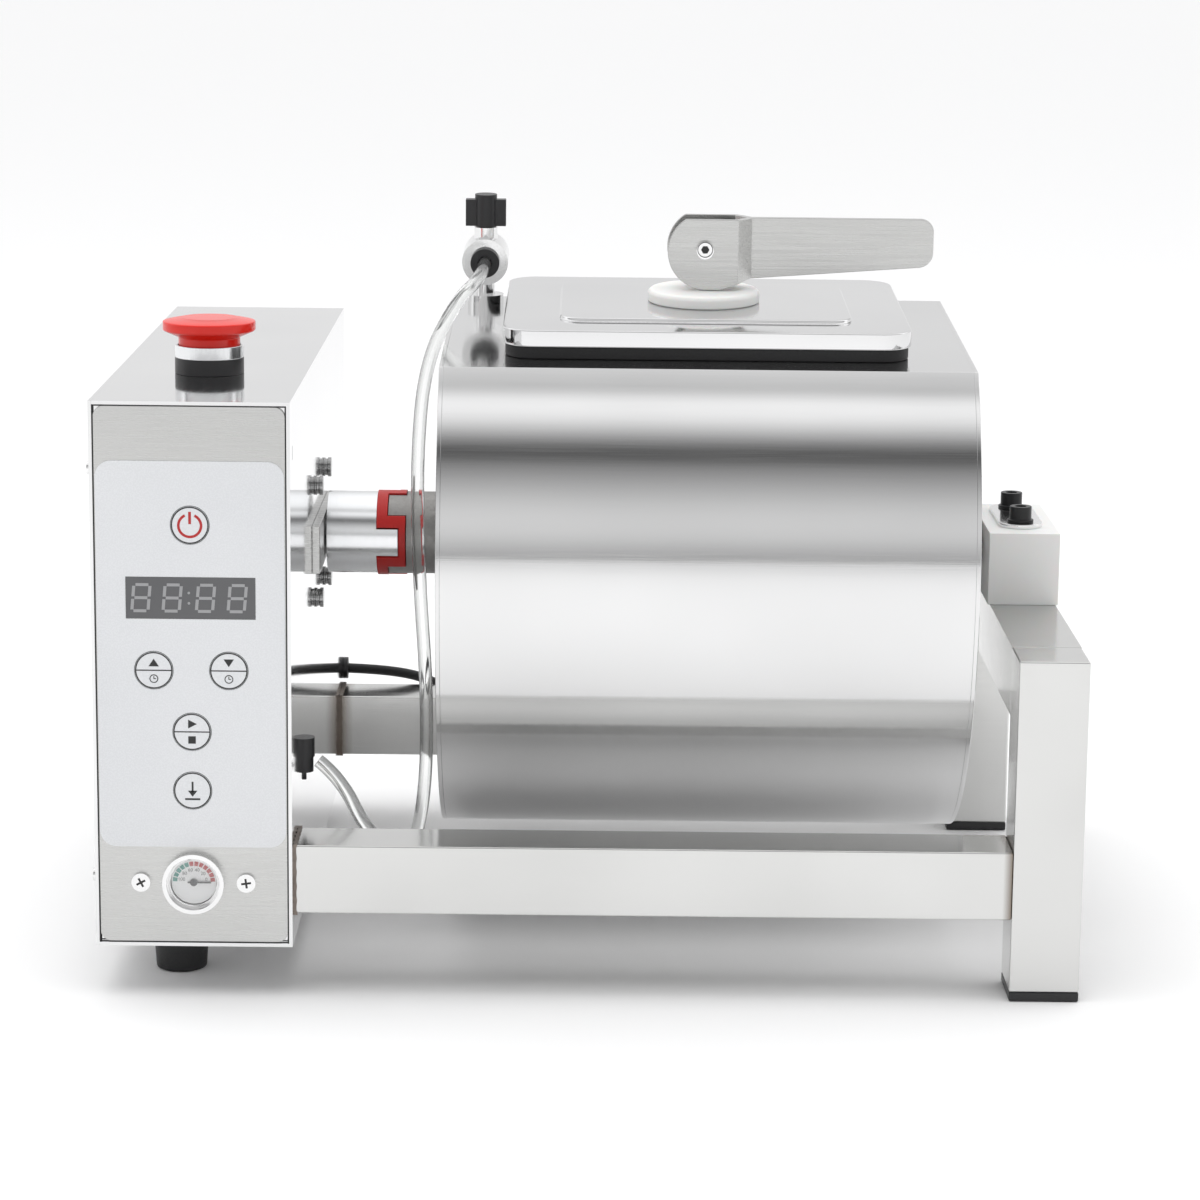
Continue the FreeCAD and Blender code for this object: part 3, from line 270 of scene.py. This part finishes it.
# %% Finishes
def between(tree, source, low, high):
    """A node that turns a value of 0 to 1 into one of low to high."""
    node = tree.nodes.new("ShaderNodeMapRange")
    node.inputs["From Min"].default_value, node.inputs["From Max"].default_value = 0.3, 0.7
    node.inputs["To Min"].default_value, node.inputs["To Max"].default_value = low, high
    linked(tree, source, node.inputs["Value"])
    return node.outputs[0]


def finish(name, dark, light, metal, rough, stretch, patches=9, bump=0.0, **plain):
    """A material whose colour runs from dark to light and whose roughness runs over a pair."""
    material = bpy.data.materials.new(name)
    material.use_nodes = True
    tree = material.node_tree
    shader = tree.nodes["Principled BSDF"]
    source = tree.nodes.new("ShaderNodeGroup")
    source.node_tree = grain
    source.inputs["Stretch"].default_value = stretch
    source.inputs["Patches"].default_value = patches
    colour = tree.nodes.new("ShaderNodeMix")
    colour.data_type = "RGBA"
    colour.inputs[6].default_value, colour.inputs[7].default_value = (*dark, 1), (*light, 1)
    linked(tree, between(tree, source.outputs["Mottling"], 0, 1), colour.inputs[0])
    linked(tree, colour.outputs[2], shader.inputs["Base Color"])
    linked(tree, between(tree, source.outputs["Grain"], *rough), shader.inputs["Roughness"])
    shader.inputs["Metallic"].default_value = metal
    if bump:
        ridge = tree.nodes.new("ShaderNodeBump")
        ridge.inputs["Strength"].default_value = bump
        ridge.inputs["Distance"].default_value = 0.0001
        linked(tree, source.outputs["Grain"], ridge.inputs["Height"])
        linked(tree, ridge.outputs[0], shader.inputs["Normal"])
    for socket, value in plain.items():
        shader.inputs[socket.replace("_", " ")].default_value = value
    return material


ALONG, EVEN = (25, 2600, 2600), (1500, 1500, 1500)
finishes = {
    "polished_steel": finish("polished_steel", (.74, .74, .745), (.80, .80, .80), 1, (.04, .10), (2200, 30, 2200)),
    "satin_steel": finish("satin_steel", (.54, .54, .53), (.60, .60, .59), 1, (.22, .36), ALONG, bump=.12),
    "drum_steel": finish("drum_steel", (.72, .72, .72), (.77, .77, .77), 1, (.07, .14), ALONG, bump=.04),
    "tube_steel": finish("tube_steel", (.62, .62, .61), (.69, .69, .68), 1, (.10, .22), ALONG, bump=.08),
    "bright_steel": finish("bright_steel", (.78, .78, .78), (.86, .86, .86), 1, (.08, .18), EVEN),
    "cast_steel": finish("cast_steel", (.30, .295, .28), (.42, .41, .40), 1, (.42, .62), (900, 900, 900), bump=.7),
    "aluminium": finish("aluminium", (.78, .79, .80), (.85, .86, .87), 1, (.14, .26), (3000, 60, 60), bump=.1),
    "black_steel": finish("black_steel", (.012, .012, .013), (.03, .03, .03), .4, (.3, .45), EVEN),
    "motor_grey": finish("motor_grey", (.10, .105, .11), (.13, .135, .14), 0, (.4, .55), EVEN, bump=.3),
    "black_rubber": finish("black_rubber", (.008, .008, .009), (.02, .02, .021), 0, (.45, .65), EVEN, bump=.3),
    "black_plastic": finish("black_plastic", (.009, .009, .01), (.02, .02, .022), 0, (.28, .42), EVEN, bump=.15),
    "white_nylon": finish("white_nylon", (.83, .83, .815), (.9, .9, .885), 0, (.38, .52), EVEN, bump=.1,
                          Subsurface_Weight=.12, Subsurface_Scale=.004),
    "red_plastic": finish("red_plastic", (.72, .008, .003), (.80, .015, .005), 0, (.18, .26), EVEN, bump=.05),
    "red_rubber": finish("red_rubber", (.48, .008, .008), (.6, .015, .012), 0, (.35, .5), EVEN, bump=.2),
    "film_white": finish("film_white", (.74, .755, .775), (.80, .812, .83), 0, (.22, .32), EVEN, bump=.06),
    "display_smoke": finish("display_smoke", (.085, .086, .092), (.12, .121, .126), 0, (.1, .16), EVEN),
    "board_green": finish("board_green", (.02, .12, .05), (.03, .16, .07), 0, (.35, .5), EVEN),
    "dial_white": finish("dial_white", (.86, .87, .87), (.92, .92, .92), 0, (.3, .4), EVEN),
    "needle_black": finish("needle_black", (.01, .01, .01), (.03, .03, .03), 0, (.3, .4), EVEN),
    "lens": finish("lens", (.97, .98, .98), (1, 1, 1), 0, (.01, .03), EVEN, Alpha=.12),
    "clear_hose": finish("clear_hose", (.93, .94, .93), (.98, .985, .98), 0, (.03, .08), EVEN,
                         Transmission_Weight=.95, IOR=1.32),
    "washer_steel": finish("washer_steel", (.30, .30, .30), (.42, .42, .42), 1, (.15, .28), EVEN),
    "print_black": finish("print_black", (.008, .008, .009), (.02, .02, .02), 0, (.3, .4), EVEN),
    "print_red": finish("print_red", (.42, .01, .01), (.5, .02, .02), 0, (.3, .4), EVEN),
    "print_green": finish("print_green", (.02, .25, .2), (.04, .32, .26), 0, (.3, .4), EVEN),
    "segment_grey": finish("segment_grey", (.30, .30, .31), (.38, .38, .39), 0, (.3, .4), EVEN),
    "weld_bead": finish("weld_bead", (.10, .07, .05), (.34, .30, .27), 1, (.35, .6), (500, 500, 500), bump=.8),
}
finishes["key_white"] = finishes["film_white"]
for node, piece in nodes.items():
    piece.data.materials.clear()
    piece.data.materials.append(finishes[slot_of[node]])
vacuum_line.data.materials.append(finishes["clear_hose"])
mains_lead.data.materials.append(finishes["black_rubber"])
print("finishes", len(finishes))

# %% [markdown]
# Real edges are never knife sharp: a folded sheet has a bend, a machined block a broken edge, and
# these catch the light. A copy of each CAD piece is welded at its seams, its flat faces are joined
# up, and its sharp edges are bevelled. A weighted normal keeps the wide faces flat under the bevel.

# %% Soft-edged copies of the CAD pieces
def piece_from(name, work, body, slot, smooth=38, weighted=True):
    """Ends a bmesh as a finished piece that rides on a body."""
    data = bpy.data.meshes.new(name)
    work.to_mesh(data)
    work.free()
    for face in data.polygons:
        face.use_smooth = True
    data.set_sharp_from_angle(angle=radians(smooth))
    data.materials.append(finishes[slot])
    piece = bpy.data.objects.new(name, data)
    scene.collection.objects.link(piece)
    if weighted:
        piece.modifiers.new("flat_faces_first", "WEIGHTED_NORMAL").keep_sharp = True
    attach(piece, body)
    return piece


def soft_edged(node, width, segments=2, sharper=28, chosen=None):
    """A copy of a CAD piece with its sharp edges rounded over the given width in millimetres."""
    work = bmesh.new()
    work.from_mesh(nodes[node].data)
    bmesh.ops.remove_doubles(work, verts=work.verts, dist=2e-6)
    bmesh.ops.dissolve_limit(work, angle_limit=radians(0.6), verts=work.verts, edges=work.edges)
    if width:
        sharp = [e for e in work.edges if len(e.link_faces) == 2
                 and e.calc_face_angle() > radians(sharper) and (chosen is None or chosen(e))]
        bmesh.ops.bevel(work, geom=sharp, offset=width * MM, offset_type="OFFSET", affect="EDGES",
                        segments=segments, profile=0.5, material=-1, clamp_overlap=True)
    piece = piece_from(node + "_finished", work, body_of[node], slot_of[node])
    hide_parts(node)
    return piece


edge_widths = {
    "housing_shell": 0.7, "side_cover": 0.3, "side_cover_screws": 0.25, "front_panel": 0.3, "keypad_film": 0,
    "gauge_case": 0.4, "estop_collar": 0.3, "estop_ring": 0.3, "estop_head": 0.5, "estop_stem": 0.2,
    "shaft_plate": 0.3, "drive_hub": 0.5, "coupling_spider": 0.25, "drum_hub": 0.5, "drum_end_plates": 0.3,
    "mouth_neck": 0.2, "lid_gasket": 0.7, "drum_journal": 0.3, "lid_pad": 0.9, "lid_stud": 0.2, "lever_pin": 0.2,
    "lid_lever": 0.35, "valve_body": 0.35, "hose_collet": 0.3, "valve_handle": 0.5, "front_rail": 0.9,
    "rear_rail": 0.9, "front_post": 0.9, "rear_post": 0.9, "top_beam": 0.9, "post_end_caps": 0.5,
    "bearing_block": 0.8, "bearing_strap": 0.35, "bearing_screws": 0.3, "rubber_feet": 0.8, "hose_port": 0.3,
    "cord_bushing": 0.3, "mains_plug": 1.2, "motor_bolts": 0.2, "lid_tray": 0.9,
}
for node, width in edge_widths.items():
    soft_edged(node, width)
print("soft-edged pieces", len(edge_widths))

# %% [markdown]
# The drum is one sheet rolled round and left flat on one side. The bend where the flat begins runs
# along the drum and is far softer than a cut edge, so only the edges that lie along the axis are
# bevelled here, wider and in more steps than on the other pieces.

# %% Drum shell
drum_shell = soft_edged("drum_shell", 2.2, segments=4, sharper=24,
                        chosen=lambda e: abs((e.verts[0].co - e.verts[1].co).normalized().x) > 0.9)
print("drum shell faces", len(drum_shell.data.polygons))

# %% [markdown]
# Where a rail is welded on, the bead stands round it as a low collar with a rippled face. A row of
# small balls would show every ball, so it is one closed block, cut finely and pushed in and out.
# The heat has left a brown tint on the polished tube that fades within a few millimetres. It is a
# mask on the distance from the weld, mixed into the tube's own colour, in a copy of its finish.

# %% Heat tint
def heat_tinted(name, base, weld_x, reach):
    """A copy of a finish with a brown tint round the plane of a weld."""
    material = finishes[base].copy()
    material.name = name
    tree = material.node_tree
    shader = tree.nodes["Principled BSDF"]
    spot, parts = tree.nodes.new("ShaderNodeTexCoord"), tree.nodes.new("ShaderNodeSeparateXYZ")
    offset, distance, fade = (tree.nodes.new("ShaderNodeMath") for _ in range(3))
    offset.operation, offset.inputs[1].default_value = "SUBTRACT", weld_x * MM
    distance.operation = "ABSOLUTE"
    fade.operation, fade.inputs[1].default_value = "DIVIDE", reach * MM
    shades = tree.nodes.new("ShaderNodeValToRGB")
    shades.color_ramp.elements[0].color = (.9, .9, .9, 1)
    shades.color_ramp.elements[1].color = (0, 0, 0, 1)
    tint = tree.nodes.new("ShaderNodeMix")
    tint.data_type = "RGBA"
    tint.inputs[7].default_value = (.13, .085, .05, 1)
    before = shader.inputs["Base Color"].links[0].from_socket
    linked(tree, spot.outputs["Object"], parts.inputs[0])
    linked(tree, parts.outputs["X"], offset.inputs[0])
    linked(tree, offset.outputs[0], distance.inputs[0])
    linked(tree, distance.outputs[0], fade.inputs[0])
    linked(tree, fade.outputs[0], shades.inputs[0])
    linked(tree, shades.outputs[0], tint.inputs[0])
    linked(tree, before, tint.inputs[6])
    linked(tree, tint.outputs[2], shader.inputs["Base Color"])
    return material


BOX_WALL, POST_FACE = -126.5, 181
BEAD_WIDE, BEAD_PROUD, RIPPLE = 1.6, 0.6, 0.25
for rail, weld_x, reach in (("rear_rail", BOX_WALL, 7), ("front_rail", POST_FACE, 4)):
    rail_piece = bpy.data.objects[rail + "_finished"]
    rail_piece.data.materials[0] = heat_tinted(rail + "_tinted", "tube_steel", weld_x, reach)
print("heat tints", 2)

# %% Weld beads
for rail, weld_x in (("front_rail", BOX_WALL), ("rear_rail", BOX_WALL), ("rear_rail", POST_FACE)):
    low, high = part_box(rail)
    work = bmesh.new()
    bmesh.ops.create_cube(work, size=1)
    bmesh.ops.scale(work, verts=work.verts, vec=(BEAD_WIDE * MM, high.y - low.y + 2 * BEAD_PROUD * MM,
                                                 high.z - low.z + 2 * BEAD_PROUD * MM))
    long_edges = [e for e in work.edges if e.calc_length() > 0.01]
    bmesh.ops.subdivide_edges(work, edges=long_edges, cuts=14, use_grid_fill=True)
    for k, vertex in enumerate(work.verts):
        vertex.co.x += RIPPLE * MM * sin((vertex.co.y + vertex.co.z) / MM + k % 3)
    inward = BEAD_WIDE / 2 if weld_x < 0 else -BEAD_WIDE / 2
    bmesh.ops.translate(work, verts=work.verts,
                        vec=((weld_x + inward) * MM, (low.y + high.y) / 2, (low.z + high.z) / 2))
    piece_from("weld_%s_%s" % (rail, "box" if weld_x < 0 else "post"), work, "machine", "weld_bead", smooth=60)
print("weld beads", 3)

# %% Motor bolts
bpy.data.objects["motor_bolts_finished"].data.materials[0] = finishes["washer_steel"]
print("motor bolts", finishes["washer_steel"].name)

# %% [markdown]
# The marks on the film are printed: flat shapes a twentieth of a millimetre thick, drawn as closed
# outlines in the plane of the panel. Each key carries its own mark, so the mark goes in with it.
# The signs are the usual ones: power, up and down with a clock, run and stop, and draw down.

# %% Printing on the panel
FILM = -164.1   # front face of the film, in millimetres


def printed(name, body, slot, shapes, front=FILM, thick=0.05):
    """Closed outlines, or pairs of rings, in millimetres, as one thin piece that faces the front: printed marks,
    and also black inlays of painted shade.
    """
    work = bmesh.new()
    for shape in shapes:
        flat = bmesh.new()
        if isinstance(shape, tuple):
            middle_x, middle_z, inner, outer, start, end = shape
            edge = [flat.verts.new((middle_x + r * cos(radians(start)), 0, middle_z + r * sin(radians(start))))
                    for r in (inner, outer)]
            flat.edges.new(edge)
            sweep = end - start
            bmesh.ops.spin(flat, geom=flat.verts[:] + flat.edges[:], cent=(middle_x, 0, middle_z),
                           axis=(0, -1, 0), angle=radians(sweep), steps=max(6, int(sweep / 6)),
                           use_merge=sweep >= 360)
            bmesh.ops.remove_doubles(flat, verts=flat.verts, dist=1e-5)
        else:
            flat.faces.new([flat.verts.new((x, 0, z)) for x, z in shape])
        body_faces = bmesh.ops.extrude_face_region(flat, geom=flat.faces[:])
        moved = [v for v in body_faces["geom"] if isinstance(v, bmesh.types.BMVert)]
        bmesh.ops.translate(flat, verts=moved, vec=(0, -thick, 0))
        bmesh.ops.recalc_face_normals(flat, faces=flat.faces)
        part = bpy.data.meshes.new("part")
        flat.to_mesh(part)
        flat.free()
        work.from_mesh(part)
        bpy.data.meshes.remove(part)
    bmesh.ops.translate(work, verts=work.verts, vec=(0, front, 0))
    bmesh.ops.scale(work, verts=work.verts, vec=(MM, MM, MM))
    return piece_from(name, work, body, slot, smooth=20, weighted=False)


def bar(x, z, wide, high, slant=0):
    """An upright rectangle about a middle, leaning by slant."""
    w, h = wide / 2, high / 2
    return [(x - w - slant, z - h), (x + w - slant, z - h), (x + w + slant, z + h), (x - w + slant, z + h)]


def clock(x, z):
    return [(x, z, 1.45, 1.85, 0, 360), bar(x, z + 0.55, 0.35, 1.2), bar(x + 0.45, z, 0.95, 0.35)]


def face_of(key):
    """How far forward a key's own face stands, in millimetres."""
    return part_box(frame["record"]["behaviour"]["bodies"][key][0])[0].y / MM


# %% Marks on the keys
keys = {"power_key": (-168.5, 205), "time_up_key": (-184.3, 142.8), "time_down_key": (-152.7, 142.8),
        "start_stop_key": (-168.5, 116.3), "vacuum_key": (-168.5, 90.7)}
for key, (x, z) in keys.items():
    marks = [(x, z, 7.35, 7.9, 0, 360)]
    if key.startswith(("time", "start")):
        marks.append(bar(x, z, 14.8, 0.5))
    if key == "time_up_key":
        marks += [[(x - 2.2, z + 1.7), (x + 2.2, z + 1.7), (x, z + 5)]] + clock(x, z - 3.6)
    if key == "time_down_key":
        marks += [[(x - 2.2, z + 5), (x, z + 1.7), (x + 2.2, z + 5)]] + clock(x, z - 3.6)
    if key == "start_stop_key":
        marks += [[(x - 1.6, z + 1.5), (x + 2.1, z + 3.4), (x - 1.6, z + 5.3)], bar(x, z - 3.5, 3.2, 3.2)]
    if key == "vacuum_key":
        marks += [bar(x, z + 1.6, 0.8, 4.6), [(x - 2, z), (x, z - 2.6), (x + 2, z)], bar(x, z - 3.7, 6.4, 0.8)]
    printed(key + "_marks", key, "print_black", marks, front=face_of(key))
printed("power_sign", "power_key", "print_red",
        [(-168.5, 204.8, 4.2, 5.3, 115, 425), bar(-168.5, 208.1, 1.15, 5.2)], front=face_of("power_key"))
print("keys marked", len(keys))

# %% [markdown]
# The timer shows four unlit seven-segment digits behind smoked plastic, leaning a little.

# %% Timer digits
DISPLAY_Z, LEAN = 173.9, 0.09
digits = []
for k, x in enumerate((-189.3, -176.2, -162.2, -148.9)):
    for dz in (-5.6, 0, 5.6):
        digits.append(bar(x + dz * LEAN, DISPLAY_Z + dz, 5.4, 1.25))
    for dx in (-3.4, 3.4):
        for dz in (-2.8, 2.8):
            digits.append(bar(x + dx + dz * LEAN, DISPLAY_Z + dz, 1.3, 4.5, 0.2))
digits += [(-169.2, DISPLAY_Z + dz, 0.05, 0.55, 0, 360) for dz in (-2.2, 2.2)]
printed("timer_digits", "machine", "segment_grey", digits)
print("segments", len(digits))

# %% [markdown]
# The gauge reads from a hundred on the left to nothing on the right. Its scale is a green and a
# red arc cut by white ticks, with plain numbers inside.

# %% Gauge scale
GAUGE_X, GAUGE_Z, DIAL = -168.5, 50.3, -163.1
for name, slot, first, last in (("gauge_red_arc", "print_red", 0, 105),
                                ("gauge_green_arc", "print_green", 105, 180)):
    arc = [(GAUGE_X, GAUGE_Z, 7.1, 9.0, a + 1.2, a + 13.2) for a in range(first, last, 15)]
    printed(name, "machine", slot, arc, front=DIAL)
for number in (100, 80, 60, 40, 20, 0):
    curve = bpy.data.curves.new("number", "FONT")
    curve.body, curve.size, curve.extrude = str(number), 2.1 * MM, 0.03 * MM
    curve.align_x = curve.align_y = "CENTER"
    written = bpy.data.objects.new("number", curve)
    scene.collection.objects.link(written)
    bpy.context.view_layer.update()
    mesh = bpy.data.meshes.new_from_object(written)
    bpy.data.objects.remove(written)
    around = radians(12 + number * 1.56)
    spot = Vector((GAUGE_X + 5.4 * cos(around), DIAL - 0.03, GAUGE_Z + 5.4 * sin(around))) * MM
    mesh.transform(Matrix.Translation(spot) @ Matrix.Rotation(radians(90), 4, "X"))
    work = bmesh.new()
    work.from_mesh(mesh)
    bmesh.ops.remove_doubles(work, verts=work.verts, dist=1e-7)
    mesh.materials.clear()
    piece_from("gauge_number_%d" % number, work, "machine", "print_black", weighted=False)
print("gauge numbers", 6)

# %% [markdown]
# The crosses of the gauge screws and the hexagon of the pin are recesses on the real machine. At
# this size they only read as dark shapes, the shade inside them, so they are thin black inlays of
# painted shade and not cuts. The seam round the front panel is drawn the same way, as painted
# shade in the gap round the panel.

# %% Screw recesses, as painted shade
for side in (-22.4, 22.4):
    x, turned = GAUGE_X + side, radians(28 if side < 0 else 8)   # no two screws stop at the same angle
    arms = [(0.45, 2.1), (-0.45, 2.1), (-0.45, 0.45), (-2.1, 0.45), (-2.1, -0.45), (-0.45, -0.45),
            (-0.45, -2.1), (0.45, -2.1), (0.45, -0.45), (2.1, -0.45), (2.1, 0.45), (0.45, 0.45)]
    cross = [(x + a * cos(turned) - b * sin(turned), GAUGE_Z + a * sin(turned) + b * cos(turned))
             for a, b in arms]
    # painted shade: a thin black cross stands in for the shadow inside each screw's recess
    printed("screw_cross_painted_shade_%s" % ("left" if side < 0 else "right"), "machine", "print_black", [cross],
            front=-165.1)
print("screw crosses", 2)

# %% Socket of the lever's pin, as painted shade
pin_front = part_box("lever_pin")[0].y / MM
pin_middle = on_drum(MOUTH_X, 0, 134.6) / MM
hexagon = [(pin_middle.x + 1.9 * cos(radians(a)), pin_middle.z + 1.9 * sin(radians(a)))
           for a in range(0, 360, 60)]
# painted shade: a black hexagon and ring stand in for the shadow inside the pin's socket
printed("pin_socket_painted_shade", "clamp_stud", "print_black",
        [hexagon, (pin_middle.x, pin_middle.z, 3.2, 3.5, 0, 360)], front=pin_front)
print("pin socket at", [round(v, 1) for v in pin_middle])

# %% Seam of the panel, as painted shade
low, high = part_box("front_panel")
middle_x, middle_z = (low.x + high.x) / 2 / MM, (low.z + high.z) / 2 / MM
across, tall = (high.x - low.x) / MM + 0.9, (high.z - low.z) / MM + 0.9
seam = [bar(middle_x, side_z, across, 0.5) for side_z in (low.z / MM, high.z / MM)]
seam += [bar(side_x, middle_z, 0.5, tall) for side_x in (low.x / MM, high.x / MM)]
print("panel", [round(v / MM, 1) for v in (*low, *high)])
# painted shade: thin black strips stand in for the shadow in the gap round the front panel
printed("panel_seam_painted_shade", "machine", "print_black", seam, front=low.y / MM)
